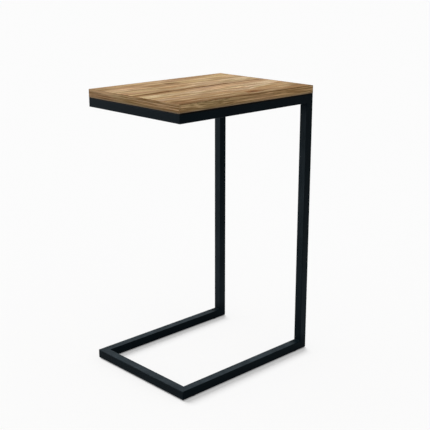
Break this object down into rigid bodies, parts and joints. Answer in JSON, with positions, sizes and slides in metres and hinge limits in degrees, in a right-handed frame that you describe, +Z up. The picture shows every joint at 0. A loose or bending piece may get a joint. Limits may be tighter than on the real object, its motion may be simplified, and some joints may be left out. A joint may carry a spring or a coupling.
{
  "type": "c shaped side table",
  "caption": "C-shaped side table: an oak-decor board on a welded black square-tube frame, open at the front so that its base slides under a seat.",
  "frame": {"origin": "on the floor, under the middle of the board", "axes": "+X towards the rear, where the two posts are, so that the open front of the C faces -X; +Y to the left; +Z up"},
  "size_m": [0.4, 0.3, 0.64],
  "materials": {
    "oak_board": "matt oak decor on chipboard",
    "oak_edge_band": "matt oak-decor edge band",
    "black_powder_coat": "satin black powder coat on steel",
    "zinc_screw": "bright zinc plate",
    "black_glide": "matt black moulded plastic"
  },
  "bodies": {
    "root": {"tabletop_board": "oak_board", "edge_band_front": "oak_edge_band", "edge_band_rear": "oak_edge_band", "edge_band_left": "oak_edge_band", "edge_band_right": "oak_edge_band", "upper_front_tube": "black_powder_coat", "upper_rear_tube": "black_powder_coat", "upper_left_tube": "black_powder_coat", "upper_right_tube": "black_powder_coat", "left_post": "black_powder_coat", "right_post": "black_powder_coat", "base_front_tube": "black_powder_coat", "base_left_tube": "black_powder_coat", "base_right_tube": "black_powder_coat", "base_front_welds": "black_powder_coat", "post_foot_welds": "black_powder_coat", "post_head_welds": "black_powder_coat", "upper_front_welds": "black_powder_coat", "upper_rear_welds": "black_powder_coat", "board_screw_front": "zinc_screw", "board_screw_rear": "zinc_screw", "board_screw_front_left": "zinc_screw", "board_screw_front_right": "zinc_screw", "board_screw_rear_left": "zinc_screw", "board_screw_rear_right": "zinc_screw", "base_glide_front_left": "black_glide", "base_glide_front_right": "black_glide", "base_glide_rear_left": "black_glide", "base_glide_rear_right": "black_glide"}
  },
  "joints": []
}
